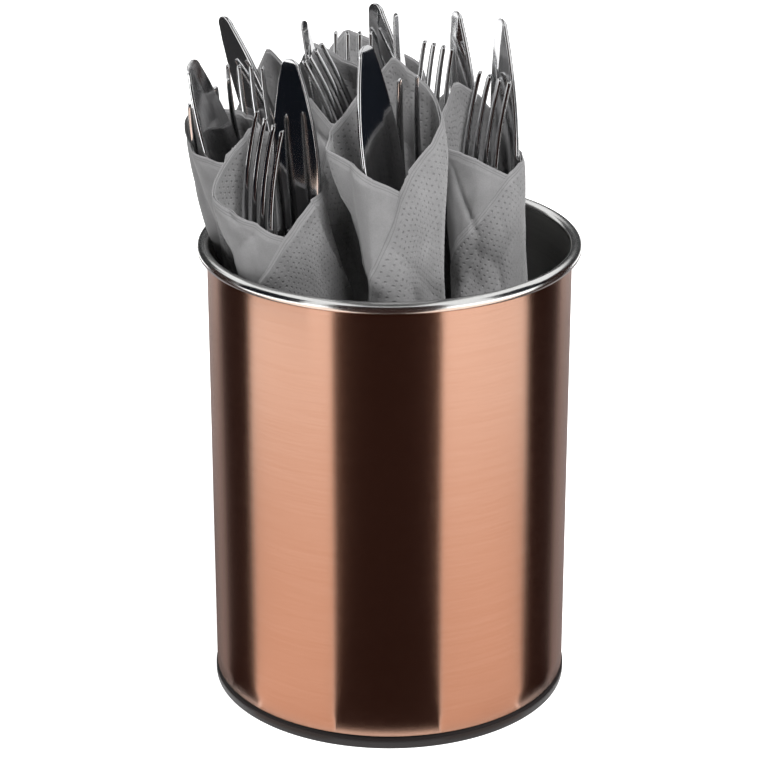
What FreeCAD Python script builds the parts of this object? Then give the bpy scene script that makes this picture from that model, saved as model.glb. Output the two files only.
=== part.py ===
"""A round metal cutlery pot that holds nine napkin-wrapped sets of knife and fork.

Millimetres, +Z up. The origin is the centre of the base ring's underside, and -Y is the front.
The pot is a rolled steel wall with a curled rim, a pressed floor and a moulded base ring.
Each set is a knife and a fork in a paper napkin rolled to a cone, and leans in the pot by itself.
"""
import FreeCAD, Part
import math
import os

V = FreeCAD.Vector

# Pot
RIM_D = 130.0
HEIGHT = 162.0
SHEET = 0.9
CURL_R = 2.1
CURL_TURN = 265.0
CURL_FLATS = 6
RING_FOOT_H = 3.2
RING_LIP = 0.4
RING_BAND_W = 10.0
GROOVE_H = 1.3
GROOVE_DEPTH = 0.5
NECK_H = 1.9
FLOOR_SKIRT = 2.9
PRESS_GAP = 0.05
EDGE_BEVEL = 0.5

# Clearances between pieces that only rest on or lie beside each other
REST_GAP = 0.3
STACK_GAP = 0.6

# Table knife, butt at z = 0 and tip at z = KNIFE_L
KNIFE_L = 227.0
KNIFE_HANDLE_L = 112.0
KNIFE_HANDLE_W = 16.0
KNIFE_NECK_W = 11.0
KNIFE_HANDLE_T = 5.0
KNIFE_BLADE_W = 17.0
KNIFE_SPINE_T = 2.2
KNIFE_TIP_T = 1.4
KNIFE_EDGE_T = 0.6
KNIFE_BEVEL_W = 5.0
KNIFE_CHOIL_L = 9.0
KNIFE_TIP_R = 3.4
KNIFE_TAPER_L = 50.0
HANDLE_BEVEL = 1.2
BUTT_ROUND = 6.5

# Table fork, butt at z = 0 and tines' ends at z = FORK_L
FORK_L = 206.0
FORK_HANDLE_W = 14.0
FORK_NECK_W = 6.4
FORK_T = 2.2
FORK_NECK_Z = 108.0
FORK_HEAD_W = 21.5
FORK_HEAD_L = 62.0
FORK_TINE_L = 46.0
FORK_TINES = 4
FORK_SLOT_W = 3.0
FORK_SLOT_SPREAD = 1.0
FORK_BELLY = 5.0
FORK_TIP_RISE = 8.0
FORK_TIP_NARROW = 1.2
FORK_TIP_FLATS = 3

# Napkin: a square folded in four and rolled to a cone round the handles
PAPER = 1.0
CONE_CLEAR = 1.6
HEM_SLOPE = 1.1
PAPER_FLATS = 16

# Derived
RIM_R = RIM_D / 2
WALL_IN_R = RIM_R - 2 * CURL_R
WALL_OUT_R = WALL_IN_R + SHEET
CURL_Z = HEIGHT - CURL_R
WALL_BASE_Z = RING_FOOT_H + GROOVE_H
FLOOR_TOP_Z = WALL_BASE_Z + FLOOR_SKIRT
STACK_T = KNIFE_HANDLE_T + FORK_T + STACK_GAP
POCKET_R = math.hypot(KNIFE_HANDLE_W / 2, STACK_T / 2 + STACK_GAP) + CONE_CLEAR
FOOT_R = POCKET_R + PAPER

# The sets. foot and mouth are where a roll's axis meets the pot's floor and its rim plane, and
# spread is the roll's radius at the rim plane, all as shares of the pot's inner radius: soft
# rolls spread until they meet. facing turns the hem's point, peak is the hem's top above the
# floor and its sideways shift. Knife and fork: lift above the floor, turn of the flat side,
# and how far the tip stands off the roll's axis to the right and to the back. The fork lies in
# front of the knife (side 1) or behind it (side -1), and a knife's edge is on its left unless
# edge is -1.
SETS = [
    dict(name="front_left", foot=(-0.438, -0.036), mouth=(-0.571, -0.452), spread=0.269,
         facing=15, peak=(203, -4), side=1,
         knife=dict(lift=4.2, turn=-27, tip=(7.5, -2.6), edge=1),
         fork=dict(lift=3.4, turn=-62, tip=(-3.2, -2.6))),
    dict(name="front_middle", foot=(0.373, -0.702), mouth=(0.090, -0.727), spread=0.257,
         facing=-14, peak=(223, -1), side=-1,
         knife=dict(lift=9.9, turn=44, tip=(-3.9, -7.1), edge=-1),
         fork=dict(lift=16.9, turn=21, tip=(1.5, 2.8))),
    dict(name="front_right", foot=(0.712, -0.354), mouth=(0.541, -0.293), spread=0.221,
         facing=14, peak=(209, -5), side=1,
         knife=dict(lift=6.0, turn=-62, tip=(8.3, 4.5), edge=1),
         fork=dict(lift=8.7, turn=-59, tip=(2.8, 0.8))),
    dict(name="left", foot=(-0.062, 0.453), mouth=(-0.758, 0.050), spread=0.238,
         facing=-25, peak=(209, -5), side=-1,
         knife=dict(lift=4.1, turn=55, tip=(-0.1, -6.2), edge=-1),
         fork=dict(lift=11.1, turn=43, tip=(-0.8, 1.1))),
    dict(name="back_left", foot=(0.238, 0.759), mouth=(-0.548, 0.512), spread=0.246,
         facing=-12, peak=(215, 5), side=1,
         knife=dict(lift=6.9, turn=-43, tip=(-2.2, 6.7), edge=1),
         fork=dict(lift=11.1, turn=-42, tip=(-1.7, -1.8))),
    dict(name="middle", foot=(0.293, 0.228), mouth=(-0.194, 0.167), spread=0.231,
         facing=-15, peak=(222, -5), side=1,
         knife=dict(lift=3.3, turn=78, tip=(-3.3, 4.3), edge=1),
         fork=dict(lift=14.5, turn=71, tip=(0.8, -0.6))),
    dict(name="back_middle", foot=(0.599, 0.524), mouth=(0.064, 0.634), spread=0.286,
         facing=10, peak=(217, -4), side=1,
         knife=dict(lift=3.3, turn=-42, tip=(6.0, -8.8), edge=1),
         fork=dict(lift=14.9, turn=-44, tip=(-5.5, -5.4))),
    dict(name="right_middle", foot=(0.305, -0.288), mouth=(0.075, -0.221), spread=0.228,
         facing=0, peak=(198, 0), side=-1,
         knife=dict(lift=9.1, turn=79, tip=(4.5, -4.7), edge=1),
         fork=dict(lift=10.5, turn=74, tip=(-0.4, 0.3))),
    dict(name="back_right", foot=(0.668, 0.059), mouth=(0.393, 0.181), spread=0.249,
         facing=0, peak=(198, 0), side=1,
         knife=dict(lift=3.4, turn=-60, tip=(6.2, -4.1), edge=1),
         fork=dict(lift=13.3, turn=-59, tip=(-3.2, -2.9))),
]


def rz(r, z):
    """A point of a profile that is turned about Z."""
    return V(r, 0, z)


def arc(a, middle, b):
    return Part.Arc(a, middle, b).toShape()


def lines(points):
    return [Part.makeLine(a, b) for a, b in zip(points[:-1], points[1:])]


def polygon(points):
    return Part.Face(Part.makePolygon(points + points[:1]))


def turned(points):
    """A full turn about Z of the closed profile through the points."""
    return polygon(points).revolve(V(0, 0, 0), V(0, 0, 1), 360)


def solid_between(low, high):
    """The solid with two flat ends, given by their corners, and a flat side between each two."""
    count = len(low)
    sides = [polygon([low[i], low[(i + 1) % count], high[(i + 1) % count], high[i]])
             for i in range(count)]
    return Part.Solid(Part.Shell([polygon(low[::-1]), polygon(high)] + sides))


# The pot

def on_curl(radius, angle):
    """A point of the rim's curl. Angle 180 is on the wall, 90 on top, 0 outside."""
    t = math.radians(angle)
    return rz(WALL_IN_R + CURL_R + radius * math.cos(t), CURL_Z + radius * math.sin(t))


def curl(radius):
    """The curl's flats from the wall over the top and round to the outside."""
    return [on_curl(radius, 180 - CURL_TURN * i / CURL_FLATS) for i in range(CURL_FLATS + 1)]


def wall():
    """The rolled sheet: a straight cylinder whose top curls outwards into a bead."""
    return turned(
        [rz(WALL_OUT_R, WALL_BASE_Z), rz(WALL_IN_R, WALL_BASE_Z)]
        + curl(CURL_R)
        + curl(CURL_R - SHEET)[::-1]
    )


def floor_pan():
    """The pressed floor: a flat disc whose edge turns down and is welded to the wall."""
    out_r = WALL_IN_R - PRESS_GAP
    in_r = out_r - SHEET
    return turned([
        rz(0, FLOOR_TOP_Z - SHEET),
        rz(in_r, FLOOR_TOP_Z - SHEET),
        rz(in_r, WALL_BASE_Z),
        rz(out_r, WALL_BASE_Z),
        rz(out_r, FLOOR_TOP_Z - EDGE_BEVEL),
        rz(out_r - EDGE_BEVEL, FLOOR_TOP_Z),
        rz(0, FLOOR_TOP_Z),
    ])


def base_ring():
    """The moulded ring: a bevelled foot, a groove below the wall and a neck inside the floor pan."""
    foot_r = WALL_OUT_R + RING_LIP
    groove_r = WALL_OUT_R - GROOVE_DEPTH
    neck_r = WALL_IN_R - SHEET - 2 * PRESS_GAP
    neck_top = min(WALL_BASE_Z + NECK_H, FLOOR_TOP_Z - SHEET - PRESS_GAP)
    in_r = foot_r - RING_BAND_W
    return turned([
        rz(in_r, 0),
        rz(foot_r - EDGE_BEVEL, 0),
        rz(foot_r, EDGE_BEVEL),
        rz(foot_r, RING_FOOT_H),
        rz(groove_r, RING_FOOT_H),
        rz(groove_r, WALL_BASE_Z),
        rz(neck_r, WALL_BASE_Z),
        rz(neck_r, neck_top),
        rz(in_r, neck_top),
    ])


# The cutlery, drawn upright with its width along X and its thickness along Y

def bend_between(a, b, z_axis=V(0, 0, 1)):
    """Two equal arcs from a to b that start and end along z_axis."""
    across = (b - a) - z_axis * (b - a).dot(z_axis)
    if across.Length < 1e-6:
        return [Part.makeLine(a, b)]
    up = (b - a).dot(z_axis)
    radius = ((b - a).Length ** 2) / (4 * across.Length)
    half = math.asin(min(1.0, abs(up) / 2 / radius)) / 2
    side = across / across.Length
    rise = z_axis * math.copysign(1, up)
    step = rise * (radius * math.sin(half)) + side * (radius * (1 - math.cos(half)))
    middle = (a + b) * 0.5
    return [arc(a, a + step, middle), arc(middle, b - step, b)]


def front_and_side(outline, profile, depth, width):
    """What a front outline in XZ and a side profile in YZ have in common."""
    front = Part.Face(Part.Wire(outline)).extrude(V(0, depth, 0))
    front.translate(V(0, -depth / 2, 0))
    side = Part.Face(Part.Wire(profile)).extrude(V(width, 0, 0))
    side.translate(V(-width / 2, 0, 0))
    return front.common(side).Solids[0]


def knife():
    """Handle with bevelled edges, a short neck, and a blade with a round tip and a bevelled edge."""
    return knife_handle().fuse(knife_blade()).removeSplitter().Solids[0]


def knife_handle():
    """A bar that narrows to the neck, with a round butt and bevelled long edges."""
    grip = KNIFE_HANDLE_T / 2
    bevel = HANDLE_BEVEL

    def section(half, z):
        """The bar's eight corners at height z."""
        corner = [(half, grip - bevel), (half - bevel, grip)]
        right = [(x, -y) for x, y in corner[::-1]] + corner
        left = [(-x, -y) for x, y in right]
        return [V(x, y, z) for x, y in right + left]

    half = KNIFE_HANDLE_W / 2
    neck = KNIFE_NECK_W / 2
    bar = solid_between(section(half, 0), section(neck, KNIFE_HANDLE_L))
    r = BUTT_ROUND
    k = r * (1 - math.sqrt(0.5))
    outline = [
        arc(V(-half, 0, r), V(-half + k, 0, k), V(-half + r, 0, 0)),
        Part.makeLine(V(-half + r, 0, 0), V(half - r, 0, 0)),
        arc(V(half - r, 0, 0), V(half - k, 0, k), V(half, 0, r)),
    ] + lines([
        V(half, 0, r), V(half, 0, KNIFE_HANDLE_L), V(-half, 0, KNIFE_HANDLE_L), V(-half, 0, r),
    ])
    plate = Part.Face(Part.Wire(outline)).extrude(V(0, 2 * KNIFE_HANDLE_T, 0))
    plate.translate(V(0, -KNIFE_HANDLE_T, 0))
    return bar.common(plate).Solids[0]


def knife_blade():
    """Neck and blade: the outline from the front and the taper from the side, less the bevels."""
    neck = KNIFE_NECK_W / 2
    blade = KNIFE_BLADE_W / 2
    heel = KNIFE_HANDLE_L + KNIFE_CHOIL_L
    taper = KNIFE_L - KNIFE_TAPER_L
    tip_r = KNIFE_TIP_R
    sweep = (blade + tip_r) / 2
    shoulder = KNIFE_L - tip_r
    swell = taper + KNIFE_TAPER_L * 0.55
    front = [
        arc(V(blade, 0, taper), V(sweep + 1.7, 0, swell), V(tip_r, 0, shoulder)),
        arc(V(tip_r, 0, shoulder), V(0, 0, KNIFE_L), V(-tip_r, 0, shoulder)),
        arc(V(-tip_r, 0, shoulder), V(-sweep - 1.3, 0, swell), V(-blade, 0, taper)),
    ] + lines([
        V(-blade, 0, taper), V(-blade, 0, heel), V(-neck, 0, KNIFE_HANDLE_L),
        V(neck, 0, KNIFE_HANDLE_L), V(blade, 0, heel), V(blade, 0, taper),
    ])
    grip = KNIFE_HANDLE_T / 2
    spine = KNIFE_SPINE_T / 2
    point = KNIFE_TIP_T / 2
    profile = [
        V(0, grip - HANDLE_BEVEL, KNIFE_HANDLE_L), V(0, spine, heel), V(0, point, KNIFE_L),
        V(0, -point, KNIFE_L), V(0, -spine, heel), V(0, HANDLE_BEVEL - grip, KNIFE_HANDLE_L),
    ]
    solid = front_and_side(front, lines(profile + profile[:1]), 2 * KNIFE_HANDLE_T, 2 * KNIFE_BLADE_W)
    for face in (-1, 1):
        bevel = polygon([
            V(-blade - 1, face * KNIFE_EDGE_T / 2, heel),
            V(-blade, face * KNIFE_EDGE_T / 2, heel),
            V(-blade + KNIFE_BEVEL_W, face * (spine + 0.02), heel),
            V(-blade + KNIFE_BEVEL_W, face * 2 * spine, heel),
            V(-blade - 1, face * 2 * spine, heel),
        ]).extrude(V(0, 0, KNIFE_L - heel))
        solid = solid.cut(bevel)
    return solid.Solids[0]


def fork():
    """A flat bar, narrow at the neck, whose head bellies back and brings the tines forward."""
    butt = FORK_HANDLE_W / 2
    neck = FORK_NECK_W / 2
    head = FORK_HEAD_W / 2
    head_z = FORK_L - FORK_HEAD_L
    root_z = FORK_L - FORK_TINE_L
    point = head - FORK_TIP_NARROW
    full = root_z + 4
    front = [arc(V(-butt, 0, butt), V(0, 0, 0), V(butt, 0, butt))] + lines([
        V(butt, 0, butt), V(neck, 0, FORK_NECK_Z), V(neck, 0, head_z - 12),
    ]) + bend_between(V(neck, 0, head_z - 12), V(head, 0, full)) + lines([
        V(head, 0, full), V(point, 0, FORK_L), V(-point, 0, FORK_L), V(-head, 0, full),
    ]) + bend_between(V(-head, 0, full), V(-neck, 0, head_z - 12)) + lines([
        V(-neck, 0, head_z - 12), V(-neck, 0, FORK_NECK_Z), V(-butt, 0, butt),
    ])
    solid = front_and_side(front, fork_band(), 6 * FORK_BELLY, 2 * FORK_HEAD_W)
    return solid.cut(Part.makeCompound(fork_slots(root_z))).Solids[0]


def fork_band():
    """The fork from the side: straight handle, flats back to the belly and forward to the tips."""
    belly_z = FORK_L - FORK_TINE_L
    t = FORK_T / 2
    line = [(0, 0), (0, FORK_NECK_Z), (-FORK_BELLY * 0.7, belly_z - 18)]
    for i in range(FORK_TIP_FLATS + 1):
        share = i / FORK_TIP_FLATS
        line.append((FORK_TIP_RISE * share ** 2 - FORK_BELLY, belly_z + FORK_TINE_L * share))
    near = [V(0, y - t, z) for y, z in line]
    far = [V(0, y + t, z) for y, z in line]
    return lines(near + far[::-1] + near[:1])


def fork_slots(root_z):
    """The gaps between the tines, wider towards the tips, with bevelled roots."""
    pitch = (FORK_HEAD_W + FORK_SLOT_W) / FORK_TINES
    slots = []
    for i in range(FORK_TINES - 1):
        x = (i - (FORK_TINES - 2) / 2) * pitch
        r = FORK_SLOT_W / 2
        top = r + FORK_SLOT_SPREAD / 2
        slot = polygon([
            V(x - r, 0, root_z + r), V(x - r / 2, 0, root_z), V(x + r / 2, 0, root_z),
            V(x + r, 0, root_z + r), V(x + top, 0, FORK_L + 1), V(x - top, 0, FORK_L + 1),
        ]).extrude(V(0, 6 * FORK_BELLY, 0))
        slot.translate(V(0, -3 * FORK_BELLY, 0))
        slots.append(slot)
    return slots


# Places

def placed(shape, origin, x_dir, z_dir):
    """The shape with its origin, X and Z laid on the given point and directions."""
    z = z_dir.normalize()
    y = z.cross(x_dir).normalize()
    x = y.cross(z)
    m = FreeCAD.Matrix(x.x, y.x, z.x, origin.x, x.y, y.y, z.y, origin.y,
                       x.z, y.z, z.z, origin.z, 0, 0, 0, 1)
    out = shape.copy()
    out.transformShape(m)
    return out


def turn(degrees):
    """The direction that is X turned about Z."""
    t = math.radians(degrees)
    return V(math.cos(t), math.sin(t), 0)


class Roll:
    """The frame of one set: its axis goes up from the floor, +Y of the frame is its back."""

    def __init__(self, s):
        self.s = s
        self.foot = V(s["foot"][0] * WALL_IN_R, s["foot"][1] * WALL_IN_R, FLOOR_TOP_Z + REST_GAP)
        mouth = V(s["mouth"][0] * WALL_IN_R, s["mouth"][1] * WALL_IN_R, HEIGHT)
        self.reach = (mouth - self.foot).Length
        self.up = (mouth - self.foot).normalize()
        self.back = self.up.cross(V(1, 0, 0)).normalize()
        self.right = self.back.cross(self.up)

    def at(self, right, back, up):
        return self.foot + self.right * right + self.back * back + self.up * up


def tube_corners(radius, z):
    """The corners of the rolled paper's flat-sided section."""
    step = 2 * math.pi / PAPER_FLATS
    return [V(radius * math.cos(step * i), radius * math.sin(step * i), z) for i in range(PAPER_FLATS)]


def napkin(roll):
    """A cone of paper, closed at its foot, whose open top falls from a back peak to a front point."""
    s = roll.s
    mouth_r = s["spread"] * WALL_IN_R
    peak, shift = s["peak"]
    slope = (mouth_r - FOOT_R) / roll.reach
    below = FOOT_R
    top_r = FOOT_R + slope * peak
    outer = solid_between(tube_corners(FOOT_R - slope * below, -below), tube_corners(top_r, peak))
    start = min(s["knife"]["lift"], s["fork"]["lift"]) - REST_GAP
    to_corner = 1 / math.cos(math.pi / PAPER_FLATS)
    pocket = solid_between(
        tube_corners((POCKET_R + slope * start) * to_corner, start),
        tube_corners((top_r - PAPER + slope) * to_corner, peak + 1))
    side = 2 * top_r
    low = peak - 2 * top_r * HEM_SLOPE
    x = turn(s["facing"])
    roof = peak + side * HEM_SLOPE

    def above(points, y0, y1):
        """What lies above the points' line from y0 to y1."""
        p = [V(a, y0, h) for a, h in points]
        p = [V(p[0].x, y0, roof)] + p + [V(p[-1].x, y0, roof)]
        return polygon(p).extrude(V(0, y1 - y0, 0))

    front = above([
        (-side, low + (side - shift) * HEM_SLOPE), (-shift, low),
        (side, low + (side + shift) * HEM_SLOPE)], -side, 0)
    back = above([
        (-side, peak - (side + shift) * HEM_SLOPE), (shift, peak),
        (side, peak - (side - shift) * HEM_SLOPE)], 0, side)
    paper = outer.cut(pocket)
    paper = paper.cut(placed(front, V(0, 0, 0), x, V(0, 0, 1)))
    paper = paper.cut(placed(back, V(0, 0, 0), x, V(0, 0, 1)))
    paper = placed(paper, roll.foot, roll.right, roll.up)
    reach = 4 * FOOT_R
    under = Part.makeBox(reach, reach, reach, roll.foot - V(reach / 2, reach / 2, reach))
    return paper.cut(under).Solids[0]


def piece_in(roll, shape, length, spec, offset, flip):
    """A knife or fork in its roll: its butt beside the axis, and its tip where the set says."""
    lift = spec["lift"]
    dx, dy = spec["tip"]
    butt = roll.at(offset.x, offset.y, lift)
    across = V(dx - offset.x, dy - offset.y, 0)
    rise = math.sqrt(length ** 2 - across.Length ** 2)
    tip = roll.at(dx, dy, lift + rise)
    return placed(shape, butt, turn(spec["turn"]) * flip, tip - butt)


def pieces_of(s, knife_shape, fork_shape):
    """The three pieces of one set by node name."""
    roll = Roll(s)
    side = s["side"]
    t = math.radians(s["knife"]["turn"])
    front = V(math.sin(t), -math.cos(t), 0)
    skew = math.radians(abs(s["knife"]["turn"] - s["fork"]["turn"]))
    stack = KNIFE_HANDLE_T / 2 + FORK_T / 2 + STACK_GAP + FORK_HANDLE_W / 2 * math.sin(skew)
    share = (FORK_T + FORK_HANDLE_W * math.sin(skew)) / (2 * stack)
    knife_off = front * (-side * stack * min(0.5, share))
    fork_off = knife_off + front * (side * stack)
    name = s["name"]
    return {
        "napkin_" + name: napkin(roll),
        "knife_" + name: piece_in(
            roll, knife_shape, KNIFE_L, s["knife"], knife_off, s["knife"]["edge"]),
        "fork_" + name: piece_in(roll, fork_shape, FORK_L, s["fork"], fork_off, side),
    }


def main():
    os.makedirs("parts", exist_ok=True)
    nodes = {"wall": wall(), "floor_pan": floor_pan(), "base_ring": base_ring()}
    knife_shape = knife()
    fork_shape = fork()
    for s in SETS:
        nodes.update(pieces_of(s, knife_shape, fork_shape))
    for name, shape in nodes.items():
        solids = shape.Solids
        print(name, len(solids), shape.isValid(), round(shape.Volume, 1))
        shape.exportStep("parts/" + name + ".step")


main()
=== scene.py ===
# %% [markdown]
# # A copper-look cutlery pot with nine napkin-rolled sets
#
# The imported CAD model is the fixed frame of this scene: it says where every piece is and how
# large it is. Blender only adds what the eye sees: smooth rolled metal, ground blades, soft
# paper and the studio round them. So the frame is loaded first.

# %% Load the frame
import math

import bmesh
import bpy
import numpy as np
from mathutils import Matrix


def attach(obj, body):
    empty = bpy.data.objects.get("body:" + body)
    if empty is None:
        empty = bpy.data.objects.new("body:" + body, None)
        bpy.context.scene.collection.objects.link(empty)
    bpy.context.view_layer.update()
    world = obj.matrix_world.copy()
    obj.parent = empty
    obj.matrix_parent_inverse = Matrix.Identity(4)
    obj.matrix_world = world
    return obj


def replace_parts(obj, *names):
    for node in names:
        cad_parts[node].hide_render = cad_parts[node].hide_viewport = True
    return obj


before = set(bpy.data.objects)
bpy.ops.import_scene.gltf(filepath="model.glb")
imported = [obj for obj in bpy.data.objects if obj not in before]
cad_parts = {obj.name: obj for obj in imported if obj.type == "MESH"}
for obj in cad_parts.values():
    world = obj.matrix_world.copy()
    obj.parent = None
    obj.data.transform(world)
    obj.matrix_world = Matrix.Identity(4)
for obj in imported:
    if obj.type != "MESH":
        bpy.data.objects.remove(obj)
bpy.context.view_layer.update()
MM = 0.001

# %% [markdown]
# ## Camera
#
# A tabletop product shot is taken with a long lens from about arm's length above the table, so
# that the cylinder's sides stay parallel and the mouth opens as a flat ellipse. The camera
# stands 0.86 m in front of the pot's axis and 0.46 m up, and looks 22 degrees down.

# %% Camera
CAMERA_AT = (0.0, -0.8596, 0.4602)
CAMERA_TILT = 22.18
LENS = 127.5

camera_data = bpy.data.cameras.new("camera")
camera_data.lens = LENS
camera_data.sensor_width = 36.0
camera_data.shift_x = -0.0125
camera = bpy.data.objects.new("camera", camera_data)
camera.location = CAMERA_AT
camera.rotation_euler = (math.radians(90.0 - CAMERA_TILT), 0.0, 0.0)
bpy.context.scene.collection.objects.link(camera)
bpy.context.scene.camera = camera
bpy.context.scene.view_settings.view_transform = "Standard"
print("camera at", CAMERA_AT, "lens", LENS, "mm")

# %% [markdown]
# ## From arrays to meshes
#
# Most pieces here are grids: rows of points along a piece and columns across or around it. A
# grid needs only index arithmetic to become quads, so one helper serves them all. A closed
# piece is stitched where two sheets of points meet by merging equal points.

# %% Helpers for grid surfaces
def grid_faces(rows, columns, wrap_rows=False, wrap_columns=False, start=0):
    """Quads of a rows x columns grid of points: point (i, j) has number start + i*columns + j."""
    i = np.arange(rows if wrap_rows else rows - 1)
    j = np.arange(columns if wrap_columns else columns - 1)
    i, j = np.meshgrid(i, j, indexing="ij")
    i2 = (i + 1) % rows
    j2 = (j + 1) % columns
    quads = np.stack([i * columns + j, i * columns + j2, i2 * columns + j2, i2 * columns + j], -1)
    return quads.reshape(-1, 4) + start


def mesh_piece(name, points, faces, uv=None, slots=None, merge=0.0, values=None):
    """An object from point and quad arrays in millimetres, with one UV pair and values per point.

    slots is a material number per face. merge closes seams: points nearer than it become one.
    """
    mesh = bpy.data.meshes.new(name)
    mesh.from_pydata((points * MM).tolist(), [], faces.tolist())
    if uv is not None:
        layer = mesh.uv_layers.new(name="sheet")
        layer.data.foreach_set("uv", uv[faces.ravel()].astype(np.float32).ravel())
    if slots is not None:
        mesh.polygons.foreach_set("material_index", slots.astype(np.int32))
    for key, value in (values or {}).items():
        mesh.attributes.new(key, "FLOAT", "POINT").data.foreach_set("value", value.astype(np.float32))
    mesh.polygons.foreach_set("use_smooth", np.ones(len(faces), dtype=bool))
    if merge:
        shape = bmesh.new()
        shape.from_mesh(mesh)
        bmesh.ops.remove_doubles(shape, verts=shape.verts, dist=merge * MM)
        bmesh.ops.recalc_face_normals(shape, faces=shape.faces)
        shape.to_mesh(mesh)
        shape.free()
    mesh.update()
    piece = bpy.data.objects.new(name, mesh)
    bpy.context.scene.collection.objects.link(piece)
    return piece


def smoothstep(t):
    """0 below 0, 1 above 1, and 3t^2 - 2t^3 between."""
    t = np.clip(t, 0.0, 1.0)
    return t * t * (3.0 - 2.0 * t)

# %% [markdown]
# ## Shader groups that several finishes share
#
# Rolled, brushed and ground metal all carry fine parallel scratches; only their direction and
# length differ. One node group makes such a grain from any coordinates: it stretches a noise
# texture, so that its spots become streaks. Where it is stretched alike all ways, the same group
# gives the cloudy variation of handling marks, fibres and moulded grain.

# %% Node helpers and groups
def new_group(name, inputs, outputs):
    """A shader node group with the named kinds of sockets, and its input and output nodes."""
    group = bpy.data.node_groups.new(name, "ShaderNodeTree")
    for sockets, way in ((inputs, "INPUT"), (outputs, "OUTPUT")):
        for socket, kind in sockets.items():
            group.interface.new_socket(name=socket, in_out=way, socket_type="NodeSocket" + kind)
    return group, group.nodes.new("NodeGroupInput"), group.nodes.new("NodeGroupOutput")


def add(tree, kind, links=None, **settings):
    """A node with its properties set, and its inputs given as values or as sockets to link."""
    node = tree.nodes.new("ShaderNode" + kind)
    for key, value in settings.items():
        setattr(node, key, value)
    for key, value in (links or {}).items():
        if isinstance(value, bpy.types.NodeSocket):
            tree.links.new(value, node.inputs[key])
        else:
            node.inputs[key].default_value = value
    return node


def calc(tree, operation, *values, clamp=False):
    """A math node's result, from values or sockets in the node's own order."""
    return add(tree, "Math", dict(enumerate(values)), operation=operation, use_clamp=clamp).outputs[0]


def grain_group():
    """Streaks: noise on coordinates multiplied by Stretch, centred on 0 and scaled by Strength."""
    group, given, result = new_group(
        "streak grain", {"Vector": "Vector", "Stretch": "Vector", "Strength": "Float"}, {"Value": "Float"})
    scaled = add(group, "VectorMath", {0: given.outputs["Vector"], 1: given.outputs["Stretch"]},
                 operation="MULTIPLY")
    noise = add(group, "TexNoise", {"Vector": scaled.outputs[0], "Scale": 1.0, "Detail": 3.0,
                                    "Roughness": 0.6})
    centred = calc(group, "SUBTRACT", noise.outputs[0], 0.5)
    value = calc(group, "MULTIPLY", centred, given.outputs["Strength"])
    group.links.new(value, result.inputs["Value"])
    return group


GRAIN = grain_group()


def new_material(name, **uniform):
    """A material with a Principled shader whose uniform values are set on its own sockets."""
    made = bpy.data.materials.new(name)
    made.use_nodes = True
    tree = made.node_tree
    shader = tree.nodes["Principled BSDF"]
    for key, value in uniform.items():
        shader.inputs[key.replace("_", " ")].default_value = value
    return made, tree, shader


def feed(tree, shader, **sockets):
    """Links each socket to the shader's input of its name, where _ stands for a space."""
    for key, socket in sockets.items():
        tree.links.new(socket, shader.inputs[key.replace("_", " ")])


def grain(tree, vector, stretch, strength=1.0):
    """One use of the streak group. stretch is spots per metre, one number or one for each axis."""
    stretch = [float(s) for s in np.broadcast_to(stretch, 3)]
    return add(tree, "Group", {"Vector": vector, "Stretch": stretch, "Strength": strength},
               node_tree=GRAIN).outputs["Value"]


def around(tree, base, value):
    """base + value, clamped to 0..1."""
    return calc(tree, "ADD", value, base, clamp=True)


def tinted(tree, dark, light, factor):
    """A colour between dark and light by a factor."""
    return add(tree, "Mix", {0: factor, 6: (*dark, 1.0), 7: (*light, 1.0)}, data_type="RGBA").outputs[2]


def bumped(tree, shader, height, distance):
    """Feeds the shader's normal with a bump that is distance metres high where height is 1."""
    node = add(tree, "Bump", {"Height": height, "Distance": distance, "Strength": 1.0})
    feed(tree, shader, Normal=node.outputs[0])


# %% [markdown]
# ## The pot's finishes
#
# The sheet is stainless steel. Outside it is coloured copper and brushed round the pot, so a
# reflection stays sharp sideways but smears up and down: an anisotropic shader whose tangent
# runs round Z does that. The bead is polished steel, and the inside keeps the steel's own
# brushed grey. The base is a matt moulding in charcoal.

# %% Pot materials
def brushed_round(name, dark, light, roughness, spread, **uniform):
    """Metal brushed round Z: streaks of 70 per metre along the brushing and 5200 across it.

    Broader and longer streaks lie over them. spread is how much the streaks change the roughness.
    """
    made, tree, shader = new_material(name, Metallic=1.0, **uniform)
    at = add(tree, "TexCoord").outputs["Object"]
    fine = grain(tree, at, (70.0, 70.0, 5200.0))
    broad = grain(tree, at, (14.0, 14.0, 900.0), 0.6)
    both = calc(tree, "ADD", fine, broad)
    tangent = add(tree, "Tangent", direction_type="RADIAL", axis="Z")
    feed(tree, shader, Base_Color=tinted(tree, dark, light, around(tree, 0.5, both)),
         Roughness=around(tree, roughness, calc(tree, "MULTIPLY", both, spread)),
         Tangent=tangent.outputs[0])
    bumped(tree, shader, fine, 0.000005)
    return made


COPPER = brushed_round("copper_brushed", (0.43, 0.232, 0.155), (0.535, 0.33, 0.247), 0.24, 0.05,
                       Anisotropic=0.95, Anisotropic_Rotation=0.25)
INNER_STEEL = brushed_round("steel_brushed_inside", (0.40, 0.40, 0.39), (0.60, 0.60, 0.585), 0.34, 0.12,
                            Anisotropic=0.7, Anisotropic_Rotation=0.25)


def polished_steel(name):
    """Mirror steel with faint cloudy wiping marks in its roughness."""
    made, tree, shader = new_material(name, Metallic=1.0, Base_Color=(0.78, 0.78, 0.77, 1.0))
    at = add(tree, "TexCoord").outputs["Object"]
    feed(tree, shader, Roughness=around(tree, 0.20, grain(tree, at, 60.0, 0.08)))
    bumped(tree, shader, grain(tree, at, 220.0), 0.00002)
    return made


BEAD_STEEL = polished_steel("steel_polished_bead")


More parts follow.
